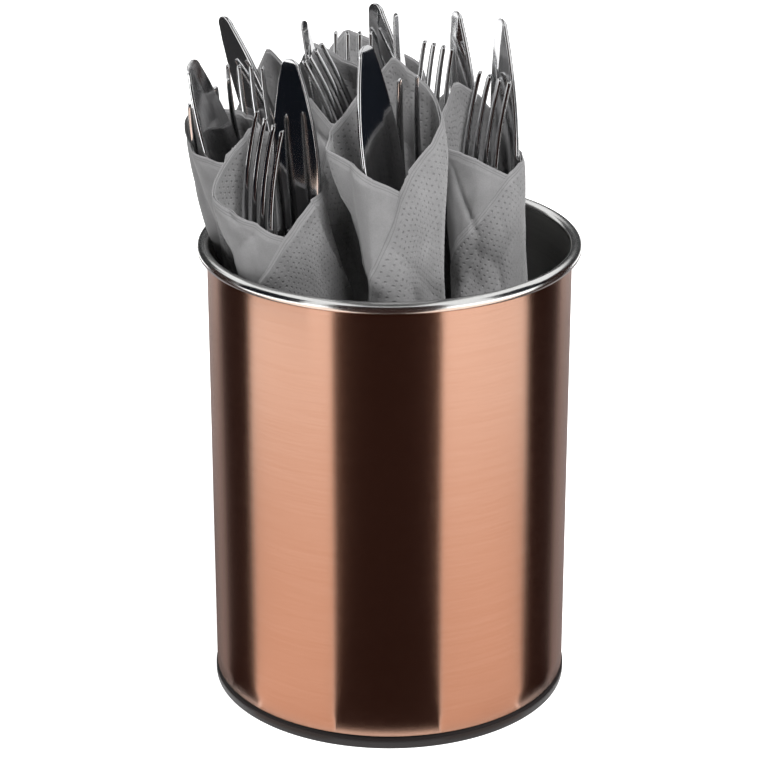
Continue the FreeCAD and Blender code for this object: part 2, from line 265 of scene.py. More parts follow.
def moulded_charcoal():
    """Matt plastic: near-black grey with a spark-eroded grain of about 0.2 mm."""
    made, tree, shader = new_material("plastic_charcoal", Specular_IOR_Level=0.3)
    at = add(tree, "TexCoord").outputs["Object"]
    speck = grain(tree, at, 5000.0)
    colour = tinted(tree, (0.010, 0.008, 0.008), (0.020, 0.016, 0.016), around(tree, 0.5, speck))
    feed(tree, shader, Base_Color=colour, Roughness=around(tree, 0.48, grain(tree, at, 900.0, 0.2)))
    bumped(tree, shader, speck, 0.00003)
    return made


CHARCOAL = moulded_charcoal()
print("finishes:", [m.name for m in (COPPER, INNER_STEEL, BEAD_STEEL, CHARCOAL)])

# %% [markdown]
# ## The pot
#
# A spun pot is one profile turned about its axis. The profile here is the real one: the sheet
# goes up straight, and its edge curls outwards and under in one round bead of 4.2 mm. Turning
# it as an array gives true circles with enough columns for a clean reflection. The floor pan
# and the base ring are turned in the same way, with small rounds at their edges.

# %% Pot dimensions
WALL_IN_R = 60.8
SHEET_T = 0.9
CURL_R = 2.1
CURL_TURN = 265.0
HEIGHT = 162.0
WALL_BASE_Z = 4.5
FLOOR_Z = 7.4
WALL_OUT_R = WALL_IN_R + SHEET_T
RING_FOOT_H = 3.2
RING_R = WALL_OUT_R + 0.4
CUT_EDGE = 0.15
PAN_GAP = 0.05
NEAR_AXIS = 0.001
TURN_COLUMNS = 256


# %% Turn a profile
def turned(name, profile, materials, slots):
    """Each profile point (r, z) becomes the circle (r cos a, r sin a, z); the last joins the first.

    slots gives a material number for the band that starts at each profile point.
    """
    profile = np.array(profile)
    a = 2.0 * np.pi * np.arange(TURN_COLUMNS) / TURN_COLUMNS
    r, z = profile[:, :1], profile[:, 1:]
    points = np.stack([r * np.cos(a), r * np.sin(a), np.broadcast_to(z, (len(profile), len(a)))], -1)
    faces = grid_faces(len(profile), TURN_COLUMNS, wrap_rows=True, wrap_columns=True)
    piece = mesh_piece(name, points.reshape(-1, 3), faces, slots=np.repeat(slots, TURN_COLUMNS), merge=0.001)
    for material in materials:
        piece.data.materials.append(material)
    return piece


def arc_points(r, z, radius, start, end, count):
    """Points at radius round (r, z) from one angle to another, in degrees."""
    a = np.radians(np.linspace(start, end, count))
    return np.stack([r + radius * np.cos(a), z + radius * np.sin(a)], -1)


# %% Wall with its rolled bead
def pot_wall():
    """Inside up, over the curl's outer arc and back along its inner arc, outside down."""
    centre = (WALL_IN_R + CURL_R, HEIGHT - CURL_R)
    inside = [(WALL_IN_R, z) for z in np.linspace(WALL_BASE_Z + CUT_EDGE, centre[1], 24)[:-1]]
    over = arc_points(*centre, CURL_R, 180.0, 180.0 - CURL_TURN, 44)
    back = arc_points(*centre, CURL_R - SHEET_T, 180.0 - CURL_TURN, 180.0, 26)
    outside = [(WALL_OUT_R, z) for z in np.linspace(centre[1], WALL_BASE_Z + CUT_EDGE, 24)[1:]]
    foot = [(WALL_OUT_R - CUT_EDGE, WALL_BASE_Z), (WALL_IN_R + CUT_EDGE, WALL_BASE_Z)]
    profile = inside + over.tolist() + back.tolist() + outside + foot
    bead = len(over) + len(back) - 1
    slots = [2] * len(inside) + [1] * bead + [0] * (len(outside) + 1) + [2] * 2
    return turned("pot_wall", profile, [COPPER, BEAD_STEEL, INNER_STEEL], slots)


wall = pot_wall()
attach(wall, "pot")
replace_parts(wall, "wall")
print("wall:", len(wall.data.vertices), "points")


# %% Floor pan and base ring
def pot_floor():
    """A flat disc with a 0.5 mm round at its edge and a skirt inside the wall."""
    out_r = WALL_IN_R - PAN_GAP
    in_r = out_r - SHEET_T
    top = [(r, FLOOR_Z) for r in (NEAR_AXIS, 15.0, 30.0, 45.0, 55.0)]
    edge = arc_points(out_r - 0.5, FLOOR_Z - 0.5, 0.5, 90.0, 0.0, 7).tolist()
    under_z = FLOOR_Z - SHEET_T
    under = [(out_r, WALL_BASE_Z), (in_r, WALL_BASE_Z), (in_r, under_z), (NEAR_AXIS, under_z)]
    profile = top + edge + under
    return turned("pot_floor", profile, [INNER_STEEL], [0] * len(profile))


def base_ring():
    """A round-edged foot, a groove under the wall, and a neck inside the floor pan."""
    groove_r = WALL_OUT_R - 0.5
    neck_r = WALL_IN_R - SHEET_T - 0.1
    in_r = RING_R - 10.0
    neck_z = WALL_BASE_Z + 1.9
    low = arc_points(RING_R - 0.5, 0.5, 0.5, -90.0, 0.0, 6).tolist()
    high = arc_points(RING_R - 0.3, RING_FOOT_H - 0.3, 0.3, 0.0, 90.0, 5).tolist()
    profile = ([(in_r, 0.0)] + low + high
               + [(groove_r, RING_FOOT_H), (groove_r, WALL_BASE_Z), (neck_r, WALL_BASE_Z),
                  (neck_r, neck_z), (in_r, neck_z)])
    return turned("pot_base", profile, [CHARCOAL], [0] * len(profile))


floor_pan = pot_floor()
base = base_ring()
for piece, node, slot in ((floor_pan, "floor_pan", "pot_floor"), (base, "base_ring", "base")):
    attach(piece, "pot")
    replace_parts(piece, node)
    print(piece.name, len(piece.data.polygons), "faces")

# %% [markdown]
# ## Where the sets stand
#
# Each set of knife, fork and napkin has one axis, from a foot on the pot's floor to a mouth in
# the plane of the rim. Everything in the set is placed from that axis, with the same few
# numbers as the CAD model: shares of the pot's inner radius for foot and mouth, and for each
# piece its lift above the floor, the turn of its flat side and where its tip stands.

# %% The nine sets
SETS = {
    "front_left": dict(foot=(-0.438, -0.036), mouth=(-0.571, -0.452), spread=0.269, side=1,
                       knife=(4.2, -27, (7.5, -2.6), 1), fork=(3.4, -62, (-3.2, -2.6))),
    "front_middle": dict(foot=(0.373, -0.702), mouth=(0.090, -0.727), spread=0.257, side=-1,
                         knife=(9.9, 44, (-3.9, -7.1), -1), fork=(16.9, 21, (1.5, 2.8))),
    "front_right": dict(foot=(0.712, -0.354), mouth=(0.541, -0.293), spread=0.221, side=1,
                        knife=(6.0, -62, (8.3, 4.5), 1), fork=(8.7, -59, (2.8, 0.8))),
    "left": dict(foot=(-0.062, 0.453), mouth=(-0.758, 0.050), spread=0.238, side=-1,
                 knife=(4.1, 55, (-0.1, -6.2), -1), fork=(11.1, 43, (-0.8, 1.1))),
    "back_left": dict(foot=(0.238, 0.759), mouth=(-0.548, 0.512), spread=0.246, side=1,
                      knife=(6.9, -43, (-2.2, 6.7), 1), fork=(11.1, -42, (-1.7, -1.8))),
    "middle": dict(foot=(0.293, 0.228), mouth=(-0.194, 0.167), spread=0.231, side=1,
                   knife=(3.3, 78, (-3.3, 4.3), 1), fork=(14.5, 71, (0.8, -0.6))),
    "back_middle": dict(foot=(0.599, 0.524), mouth=(0.064, 0.634), spread=0.286, side=1,
                        knife=(3.3, -42, (6.0, -8.8), 1), fork=(14.9, -44, (-5.5, -5.4))),
    "right_middle": dict(foot=(0.305, -0.288), mouth=(0.075, -0.221), spread=0.228, side=-1,
                         knife=(9.1, 79, (4.5, -4.7), 1), fork=(10.5, 74, (-0.4, 0.3))),
    "back_right": dict(foot=(0.668, 0.059), mouth=(0.393, 0.181), spread=0.249, side=1,
                       knife=(3.4, -60, (6.2, -4.1), 1), fork=(13.3, -59, (-3.2, -2.9))),
}
KNIFE_L, HANDLE_T, HANDLE_W = 227.0, 5.0, 16.0
FORK_L, FORK_T, FORK_W = 206.0, 2.2, 14.0
STACK_GAP = 0.6


# %% From a set's numbers to frames
def unit(v):
    """v / |v|."""
    return v / np.linalg.norm(v)


def roll_frame(s):
    """The set's foot, its directions right, back and up as columns, and the way to the rim."""
    foot = np.array([s["foot"][0] * WALL_IN_R, s["foot"][1] * WALL_IN_R, FLOOR_Z + 0.3])
    mouth = np.array([s["mouth"][0] * WALL_IN_R, s["mouth"][1] * WALL_IN_R, HEIGHT])
    up = unit(mouth - foot)
    back = unit(np.cross(up, (1.0, 0.0, 0.0)))
    return foot, np.stack([np.cross(back, up), back, up], -1), np.linalg.norm(mouth - foot)


def piece_frame(s, length, lift, turn, tip, flip, offset):
    """Origin at the butt and axes as columns: Z to the tip, X along the turned flat side."""
    foot, axes, _ = roll_frame(s)
    rise = math.sqrt(length ** 2 - (tip[0] - offset[0]) ** 2 - (tip[1] - offset[1]) ** 2)
    butt = foot + axes @ np.array([offset[0], offset[1], lift])
    z = unit(foot + axes @ np.array([tip[0], tip[1], lift + rise]) - butt)
    t = math.radians(turn)
    y = unit(np.cross(z, (flip * math.cos(t), flip * math.sin(t), 0.0)))
    return butt, np.stack([np.cross(y, z), y, z], -1)


def cutlery_frames(s):
    """The frames of a set's knife and fork, which lie against each other inside the paper."""
    lift, turn, tip, edge = s["knife"]
    fork_lift, fork_turn, fork_tip = s["fork"]
    t = math.radians(turn)
    front = np.array([math.sin(t), -math.cos(t)])
    skew = abs(math.sin(math.radians(turn - fork_turn)))
    stack = HANDLE_T / 2 + FORK_T / 2 + STACK_GAP + FORK_W / 2 * skew
    share = (FORK_T + FORK_W * skew) / (2 * stack)
    knife_at = front * (-s["side"] * stack * min(0.5, share))
    fork_at = knife_at + front * (s["side"] * stack)
    return (piece_frame(s, KNIFE_L, lift, turn, tip, edge, knife_at),
            piece_frame(s, FORK_L, fork_lift, fork_turn, fork_tip, s["side"], fork_at))


# %% [markdown]
# ## Cutlery steel
#
# Table cutlery is stamped, ground and polished on wheels. What is left is a near-mirror with
# very fine lines along the piece. The lines follow the piece and not the room, so the material
# reads a UV map that is laid along each piece in metres.

# %% Polished cutlery steel
def cutlery_steel():
    """Mirror steel: fine lengthwise polishing lines in colour, roughness and a shallow bump."""
    made, tree, shader = new_material("steel_cutlery", Metallic=1.0)
    along = add(tree, "UVMap", uv_map="sheet").outputs[0]
    lines = grain(tree, along, (2600.0, 22.0, 1.0))
    broad = grain(tree, along, (420.0, 9.0, 1.0))
    both = calc(tree, "ADD", lines, broad)
    colour = tinted(tree, (0.56, 0.565, 0.58), (0.80, 0.80, 0.80), around(tree, 0.6, both))
    rough = around(tree, 0.09, calc(tree, "MULTIPLY", both, 0.05))
    feed(tree, shader, Base_Color=colour, Roughness=rough)
    height = calc(tree, "ADD", calc(tree, "MULTIPLY", lines, 0.15), broad)
    bumped(tree, shader, height, 0.000018)
    return made


CUTLERY = cutlery_steel()


def place_cutlery(name, points, faces, uv, at, body):
    """Lays a piece drawn upright into its set: point = butt + axes times the drawn point."""
    butt, axes = at
    piece = mesh_piece(name, points @ axes.T + butt, faces, uv=uv * MM, merge=0.002)
    piece.data.materials.append(CUTLERY)
    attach(piece, body)
    return piece


# %% [markdown]
# ## Knives
#
# A table knife is forged in one piece: a thick round-ended handle, a short neck and a thin
# blade. Its skin can be drawn as two sheets, front and back, over the same outline. Half the
# thickness is a function of the place on the outline that falls to nothing at the outline
# itself, so the sheets meet there and the edges come out rounded. Table knives have very fine
# teeth, so the outline's cutting side is scalloped, and small flutes run into the bevel.

# %% Two-sheet skins
def rounded(t):
    """A quarter circle, sqrt(1 - (1 - t)^2): 0 at t = 0, steep there, and 1 from t = 1 on."""
    return np.sqrt(np.clip(1.0 - (1.0 - np.clip(t, 0.0, 1.0)) ** 2, 0.0, 1.0))


def skin(sheets):
    """Points, faces and UV (x, z) of sheets (x, y, z, flip). flip is -1 where a back is turned."""
    points, faces, uvs = [], [], []
    for x, y, z, flip in sheets:
        z = np.broadcast_to(z, x.shape)
        faces.append(grid_faces(*x.shape, start=sum(len(p) for p in points))[:, ::flip])
        points.append(np.stack([x, y, z], -1).reshape(-1, 3))
        uvs.append(np.stack([x, z], -1).reshape(-1, 2))
    return np.concatenate(points), np.concatenate(faces), np.concatenate(uvs)


# %% Knife outline
BUTT_R = 6.5
NECK_HALF = 5.5
NECK_Z = 111.0
BLADE_HALF = 8.5
HEEL_Z = 121.0
TAPER_Z = 177.0
TIP_R = 3.4
TOOTH = 0.95


def circle_x(z, a, b, c, sign):
    """x of the circle through three (x, z) points, on the side named by sign, at height z."""
    (ax, az), (bx, bz), (cx, cz) = a, b, c
    d = 2 * (ax * (bz - cz) + bx * (cz - az) + cx * (az - bz))
    ux = ((ax**2 + az**2) * (bz - cz) + (bx**2 + bz**2) * (cz - az) + (cx**2 + cz**2) * (az - bz)) / d
    uz = ((ax**2 + az**2) * (cx - bx) + (bx**2 + bz**2) * (ax - cx) + (cx**2 + cz**2) * (bx - ax)) / d
    r2 = (ax - ux) ** 2 + (az - uz) ** 2
    return ux + sign * np.sqrt(np.maximum(r2 - (z - uz) ** 2, 0.0))


def knife_half_width(z, belly):
    """Half width at height z: round butt, tapering handle, neck, blade, and a sweep to the tip.

    belly is how far the sweep bows out half way: 1.7 mm on the spine's side, 1.3 on the edge's.
    """
    below = BUTT_R - np.minimum(z, BUTT_R)
    butt = HANDLE_W / 2 - BUTT_R + np.sqrt(np.maximum(BUTT_R**2 - below**2, 0.0))
    grip = HANDLE_W / 2 - (HANDLE_W / 2 - NECK_HALF) * z / 112.0
    heel = NECK_HALF + (BLADE_HALF - NECK_HALF) * smoothstep((z - NECK_Z) / (HEEL_Z - NECK_Z))
    shoulder = KNIFE_L - TIP_R
    middle = ((BLADE_HALF + TIP_R) / 2 + belly, TAPER_Z + 27.5)
    sweep = circle_x(z, (BLADE_HALF, TAPER_Z), middle, (TIP_R, shoulder), 1)
    tip = np.sqrt(np.maximum(TIP_R**2 - (z - shoulder) ** 2, 0.0))
    return np.select([z < BUTT_R, z < NECK_Z, z < TAPER_Z, z < shoulder],
                     [np.minimum(butt, grip), grip, heel, sweep], tip)


# %% Knife skin
def knife_rows():
    """Heights of the rows: close together at both round ends and along the teeth."""
    butt = BUTT_R * (1.0 - np.cos(np.linspace(0.0, np.pi / 2, 9)))
    handle = np.linspace(BUTT_R, HEEL_Z + 6.0, 34)[1:]
    teeth = np.arange(HEEL_Z + 6.0, KNIFE_L - TIP_R, TOOTH / 4)[1:]
    tip = KNIFE_L - TIP_R * (1.0 - np.sin(np.linspace(0.0, np.pi / 2, 15)))
    return np.concatenate([butt, handle, teeth, tip])


def knife_skin():
    """Points (x, +-h, z). With d the way to the outline, h = flat * sqrt(1 - (1 - d/round)^2).

    flat is the handle's or blade's half thickness, less in the bevel, which falls in a straight
    line to the cutting edge at -X; round is how far in the edge's rounding reaches.
    """
    z = knife_rows()[:, None]
    share = 0.5 - 0.5 * np.cos(np.linspace(0.0, np.pi, 25))[None, :]
    tooth = np.abs(np.sin(np.pi * z / TOOTH)) * smoothstep((z - HEEL_Z - 7.0) / 2.0)
    tooth = tooth * smoothstep((KNIFE_L - 9.0 - z) / 4.0)
    spine_x = knife_half_width(z, 1.7)
    edge_x = -knife_half_width(z, 1.3) + 0.24 * tooth
    x = edge_x + (spine_x - edge_x) * share
    in_blade = smoothstep((z - 110.0) / (HEEL_Z + 2.0 - 110.0))
    blade = 1.1 - 0.4 * np.clip((z - HEEL_Z) / (KNIFE_L - HEEL_Z), 0.0, 1.0)
    crown = 2.5 - 0.9 * (x / np.maximum(spine_x, 0.1)) ** 2
    flat = crown * (1.0 - in_blade) + blade * in_blade
    from_edge = x - edge_x
    bevel = 0.3 + (blade - 0.3) * np.clip((x + knife_half_width(z, 1.3)) / 5.0, 0.0, 1.0)
    flute = 0.035 * tooth * smoothstep(1.0 - from_edge / 0.8)
    ground = smoothstep((z - HEEL_Z + 1.0) / 3.0)
    flat = flat * (1.0 - ground) + np.minimum(flat, bevel - flute) * ground
    end = np.minimum(z, KNIFE_L - z)
    out = np.minimum(np.minimum(from_edge, spine_x - x), end)
    reach = 1.6 * (1.0 - in_blade) + np.where(x < 0, 0.22, 0.45) * in_blade
    h = flat * rounded(out / reach)
    return skin([(x, -h, z, 1), (x, h, z, -1)])


KNIFE = knife_skin()
print("knife:", len(KNIFE[1]), "faces")

# %% [markdown]
# ## Forks
#
# The fork is drawn in the same way, with one strip of columns for each of its four tines.
# Below the slots the strips share their sides and merge to one plate, and above the roots each
# strip closes on itself. The plate bends: back to a belly below the tines, and forward to the
# tips. Its back is full and round, and every tine is crowned, so that each carries its own
# narrow highlight.

# %% Fork outline
TINES = 4
FORK_BUTT_R = 7.0
POINT_L = 1.6
ROOT_Z = 160.0
SLOT_R = 1.5
PITCH = 24.5 / TINES


def fork_half_width(z):
    """Half width: round butt, taper to the neck, swell to the head, and a slight narrowing."""
    below = FORK_BUTT_R - np.minimum(z, FORK_BUTT_R)
    butt = np.sqrt(np.maximum(FORK_BUTT_R**2 - below**2, 0.0))
    grip = 7.0 - 3.8 * smoothstep((z - 20.0) / 88.0)
    head = 3.2 + 7.55 * smoothstep((z - 132.0) / 32.0)
    tines = 10.75 - 1.2 * np.clip((z - 164.0) / 42.0, 0.0, 1.0)
    return np.select([z < FORK_BUTT_R, z < 120.0, z < 164.0], [butt, grip, head], tines)


def fork_middle(z):
    """y of the plate's middle: 0, then back 5 mm by z = 160, then forward as 8 t^2."""
    back = -5.0 * smoothstep((z - 104.0) / 56.0)
    t = np.clip((z - ROOT_Z) / 46.0, 0.0, 1.0)
    return back + 8.0 * t**2


def slot_half(z):
    """Half width of the gap between tines: a round root, then a little wider to the tips."""
    root = np.sqrt(np.maximum(SLOT_R**2 - (SLOT_R - (z - ROOT_Z)) ** 2, 0.0))
    straight = SLOT_R + 0.5 * np.clip((z - ROOT_Z - SLOT_R) / 44.5, 0.0, 1.0)
    return np.select([z < ROOT_Z, z < ROOT_Z + SLOT_R], [0.0 * z, root], straight)


# %% Fork skin
def tine_sides(z, i):
    """Left and right side of strip i at height z, drawn in to a round point in the last 1.6 mm."""
    half = fork_half_width(z)
    slot = slot_half(z)
    left = -half if i == 0 else (i - 2) * PITCH + slot
    right = half if i == TINES - 1 else (i - 1) * PITCH - slot
    left, right = np.clip(left, -half, half), np.clip(right, -half, half)
    middle, wide = (left + right) / 2, (right - left) / 2
    point = rounded((FORK_L - z) / POINT_L)
    return middle - wide * point, middle + wide * point


def fork_skin():
    """Strips of points (x, middle +- h, z), h rounding off with the way d to the outline.

    d is the least way to the fork's side, to a slot's side or round root, and to the tips.
    A tine is crowned: h falls by 60 % of itself from its middle to its sides.
    """
    z = np.concatenate([
        FORK_BUTT_R * (1.0 - np.cos(np.linspace(0.0, np.pi / 2, 8))),
        np.linspace(FORK_BUTT_R, 128.0, 32)[1:],
        np.linspace(128.0, ROOT_Z - 2.0, 24)[1:], np.linspace(ROOT_Z - 2.0, ROOT_Z, 8)[1:],
        ROOT_Z + SLOT_R * (1.0 - np.cos(np.linspace(0.0, np.pi / 2, 9)))[1:],
        np.linspace(ROOT_Z + SLOT_R, FORK_L - POINT_L, 34)[1:],
        FORK_L - POINT_L * (1.0 - np.sin(np.linspace(0.0, np.pi / 2, 9)))[1:]])[:, None]
    share = 0.5 - 0.5 * np.cos(np.linspace(0.0, np.pi, 13))[None, :]
    sheets = []
    for i in range(TINES):
        left, right = tine_sides(z, i)
        x = left + (right - left) * share
        out = np.minimum(fork_half_width(z) - np.abs(x), z)
        for k in range(TINES - 1):
            off = np.abs(x - (k - 1) * PITCH)
            root = np.hypot(off, z - ROOT_Z - SLOT_R) - SLOT_R
            out = np.minimum(out, np.where(z < ROOT_Z + SLOT_R, root, off - slot_half(z)))
        out = np.where(z > ROOT_Z + SLOT_R, np.minimum(x - left, right - x), out)
        thick = 1.1 - 0.25 * np.clip((z - ROOT_Z) / 46.0, 0.0, 1.0)
        h = thick * rounded(out / 0.6)
        bow = 1.0 - 4.0 * (x - left) * (right - x) / np.maximum(right - left, 0.01) ** 2
        h = h * (1.0 - 0.6 * bow * smoothstep((z - ROOT_Z) / 8.0))
        middle = fork_middle(z)
        sheets += [(x, middle - h, z, 1), (x, middle + h, z, -1)]
    return skin(sheets)


FORK = fork_skin()
print("fork:", len(FORK[1]), "faces")

# %% Lay the knives and forks in their sets
for name, s in SETS.items():
    knife_frame, fork_frame = cutlery_frames(s)
    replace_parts(place_cutlery("blade_" + name, *KNIFE, knife_frame, "set_" + name), "knife_" + name)
    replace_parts(place_cutlery("tines_" + name, *FORK, fork_frame, "set_" + name), "fork_" + name)

# %% [markdown]
# ## Paper napkins
#
# Each napkin is a 330 mm square of soft layered paper, folded in four to a 165 mm square, laid
# as a diamond and rolled round the handles. What shows is one long strip that starts under the
# right flap, runs left, round the back where the diamond's corner stands up as a peak, and
# comes back over the front, where its hem crosses the left flap in a V. A cloth simulation
# would need the folding itself to be simulated, so the strip is worked out as a surface over
# two parameters instead: the angle round the roll, which may pass a full turn, and the way up
# from the foot to the hem. Its distance from the roll's axis is what a hand makes of paper: a
# cone with a few flat sides, pressed out where the cutlery inside needs room.

# %% Napkin shapes
# hem: angle round the roll (0 back, 90 right, 180 front, -90 left) and height of the hem there.
# flats: angle, distance as a share of the cone's radius, and twist in degrees per mm of height.
# lobes: angle, width in degrees, millimetres outwards, and the heights where it starts and is full.
# folds: angle and height of a line's two ends, millimetres outwards, width in millimetres, and
# which side it fades to: 0 both, 1 or -1 one side only, so that the paper steps at the line.
# slim: millimetres by which the cone is drawn in at the height of the rim.
BACK_FLATS = [(-140, 0.93, 0.1), (160, 0.92, -0.2), (80, 0.94, 0.0), (0, 0.95, 0.0), (-70, 0.94, 0.0)]
NAPKINS = {
    "front_left": dict(
        hem=[(-240, 171), (-188, 175), (-136, 180), (-104, 184), (-90, 188), (-65, 193), (-33, 199.5),
             (-27, 199.5), (-10, 197), (20, 195), (60, 190), (90, 187), (110, 186), (132, 185.5),
             (154, 181), (172, 175.5), (191, 166.5), (209, 159.5), (250, 141), (300, 116)],
        flats=[(-152, 0.89, 0.1), (150, 0.90, -0.25), (205, 0.91, 0.2), (60, 0.93, 0.0), (-40, 0.94, 0.0)],
        lobes=[(-100, 30, 5.0, 150, 182), (102, 24, 8.0, 184, 148)], slim=1.0,
        folds=[(134, 186, 104, 150, -2.2, 16.0, 1), (150, 172, 128, 140, 0.7, 4.0, 0),
               (-150, 176, -128, 150, 0.9, 6.0, 0), (176, 164, 206, 148, -0.8, 1.6, 0)]),
    "front_middle": dict(
        hem=[(-240, 187), (-186, 191), (-158, 197), (-121, 201), (-94, 204.5), (-66, 208), (-17, 217.5),
             (11, 225.5), (17, 225.5), (50, 218), (90, 211.5), (137, 202.5), (160, 197.5), (174, 191),
             (184, 183.5), (196, 177), (208, 170), (250, 150), (300, 124)],
        flats=[(-117, 0.72, 0.0), (-176, 0.90, 0.0), (150, 0.90, -0.1), (110, 0.93, 0.1),
               (-60, 0.94, 0.1), (30, 0.94, 0.0)],
        lobes=[(-100, 30, 8.5, 168, 203), (100, 28, 1.4, 165, 205)], slim=3.6,
        folds=[(-160, 197, -142, 158, 3.4, 7.0, 0), (-128, 200, -118, 150, -0.9, 6.0, 0),
               (148, 177, 184, 150, -1.3, 1.8, 0), (128, 190, 122, 150, 0.9, 5.0, 0),
               (160, 186, 150, 160, 0.6, 4.0, 0)]),
    "front_right": dict(
        hem=[(-250, 181), (-213, 185), (-168, 191.5), (-118, 194.5), (-92, 196), (-72, 200), (-52, 205),
             (-38, 211), (-30, 211), (0, 206), (30, 197), (60, 190), (100, 188), (127, 188), (147, 185),
             (175, 177.5), (223, 165), (260, 152), (300, 136)],
        flats=[(-150, 0.92, 0.1), (165, 0.92, -0.1), (110, 0.93, 0.1), (-40, 0.93, 0.0), (40, 0.94, 0.0)],
        lobes=[(-96, 28, 3.0, 150, 190), (118, 24, 1.2, 150, 188)], slim=0.3,
        folds=[(190, 169, 228, 147, -2.4, 12.0, 1), (190, 170, 228, 148, 0.9, 4.0, -1),
               (166, 170, 178, 146, -0.8, 1.6, 0), (-150, 180, -136, 150, 0.8, 6.0, 0)]),
    "left": dict(
        hem=[(-230, 196), (-182, 196), (-163, 200), (-150, 201), (-110, 203), (-80, 206), (-45, 208),
             (-38, 208), (-10, 204), (40, 201), (90, 200), (130, 202), (170, 199), (200, 186), (240, 164),
             (290, 138)],
        flats=[(-132, 0.86, 0.1), (165, 0.92, -0.2), (90, 0.93, 0.0), (-60, 0.94, 0.0), (20, 0.94, 0.0)],
        lobes=[(-80, 50, -3.6, 168, 196)], slim=0.5,
        folds=[(-120, 196, -96, 150, 0.9, 5.0, 0), (-160, 190, -130, 150, -0.9, 3.0, 0)]),
    "back_left": dict(
        hem=[(-230, 178), (-180, 181), (-90, 192), (-40, 199), (-6, 206), (29, 216), (36, 216), (52, 211.5),
             (82, 208), (120, 200), (180, 186), (220, 170), (290, 140)],
        flats=BACK_FLATS, lobes=[(95, 30, 0.8, 160, 205)], slim=0.5,
        folds=[(-10, 204, 20, 160, 0.8, 5.0, 0)]),
    "middle": dict(
        hem=[(-240, 193), (-182, 199.5), (-162, 209), (-120, 211.5), (-90, 212), (-43, 213), (-32, 215),
             (-13, 219.5), (-7, 219.5), (30, 213), (90, 209), (130, 205), (180, 198), (215, 180), (240, 166),
             (290, 140)],
        flats=[(-132, 0.85, 0.2), (165, 0.92, -0.2), (90, 0.94, 0.0), (0, 0.95, 0.0), (-70, 0.94, 0.0)],
        lobes=[(-96, 30, 1.0, 160, 205)], slim=0.5,
        folds=[(-160, 196, -136, 140, 1.3, 6.0, 0), (-128, 190, -112, 140, -0.9, 3.0, 0),
               (170, 182, 196, 140, -0.9, 2.0, 0)]),
    "back_middle": dict(
        hem=[(-230, 188), (-180, 191), (-100, 203), (-57, 212), (-35, 215.5), (-25, 217.5), (-19, 217.5),
             (20, 209), (90, 199), (130, 195), (180, 184), (215, 172), (290, 140)],
        flats=BACK_FLATS, lobes=[], slim=0.5, folds=[(-24, 214, -10, 170, 0.8, 5.0, 0)]),
    "right_middle": dict(
        hem=[(-230, 174), (-180, 177), (-90, 186), (-30, 194), (-3, 198.5), (3, 198.5), (40, 192),
             (90, 186), (130, 181), (180, 171), (215, 158), (290, 128)],
        flats=BACK_FLATS, lobes=[], slim=0.5, folds=[(-10, 196, 10, 150, 0.8, 5.0, 0)]),
}
NAPKINS["back_right"] = NAPKINS["right_middle"]

# A roll's radius at its foot, the mean radius that turns its angles into ways along the paper,
# the paper's thickness, the air round the cutlery, the step where the strip's end lies on its
# start, how far the rows that round the hem reach down, and the depth that the foot counts as.
FOOT_R = 11.78
MEAN_R = 15.0
PLY = 0.55
ROOM = 0.45
LAP = 0.85
HEM_DEPTH = 24.0
FOOT_DEPTH = 190.0


# %% Soft least and greatest
def soft_min(a, b, k):
    """The smaller of two values, with a rounded corner about k wide where they cross."""
    t = np.clip(0.5 + 0.5 * (b - a) / k, 0.0, 1.0)
    return b + (a - b) * t - k * t * (1.0 - t)


def soft_max(a, b, k):
    """The larger of two values, rounded in the same way."""
    return -soft_min(-a, -b, k)


# %% Room for the cutlery
CELL_H, CELL_A = 4.0, 5.0
ROWS, COLUMNS = 64, 72


def cutlery_reach(s):
    """How far knife and fork reach from the roll's axis, by height and angle: max of p . direction.

    The table has a row for every 4 mm of height and a column for every 5 degrees. A row also
    counts its neighbours, and is then averaged with them.
    """
    foot, axes, _ = roll_frame(s)
    clouds = [(shape[0] @ at[1].T + at[0] - foot) @ axes
              for shape, at in zip((KNIFE, FORK), cutlery_frames(s))]
    p = np.concatenate(clouds)
    a = np.radians(CELL_A * np.arange(COLUMNS))
    reach = p[:, 0:1] * np.sin(a) + p[:, 1:2] * np.cos(a)
    row = np.clip((p[:, 2] / CELL_H).astype(int), 0, ROWS - 1)
    table = np.zeros((ROWS, COLUMNS))
    np.maximum.at(table, row, reach)
    grown = np.maximum(table, np.maximum(np.roll(table, 1, 0), np.roll(table, -1, 0)))
    return (grown + np.roll(grown, 1, 0) + np.roll(grown, -1, 0)) / 3.0


def look_up(table, angle, height):
    """The table's value between its rows and columns, by two linear steps."""
    i = np.clip(height / CELL_H - 0.5, 0.0, ROWS - 2.0)
    j = (angle / CELL_A) % COLUMNS
    i0, j0 = np.floor(i).astype(int), np.floor(j).astype(int) % COLUMNS
    fi, fj = i - np.floor(i), j - np.floor(j)
    i1, j1 = i0 + 1, (j0 + 1) % COLUMNS
    low = table[i0, j0] * (1 - fj) + table[i0, j1] * fj
    high = table[i1, j0] * (1 - fj) + table[i1, j1] * fj
    return low * (1 - fi) + high * fi


# %% The rolled strip
def round_way(arc, start):
    """Way round the roll from start, in mm, so that sheets lying on each other share their folds."""
    turn = 2.0 * np.pi * MEAN_R
    return (arc - start + turn / 2) % turn - turn / 2


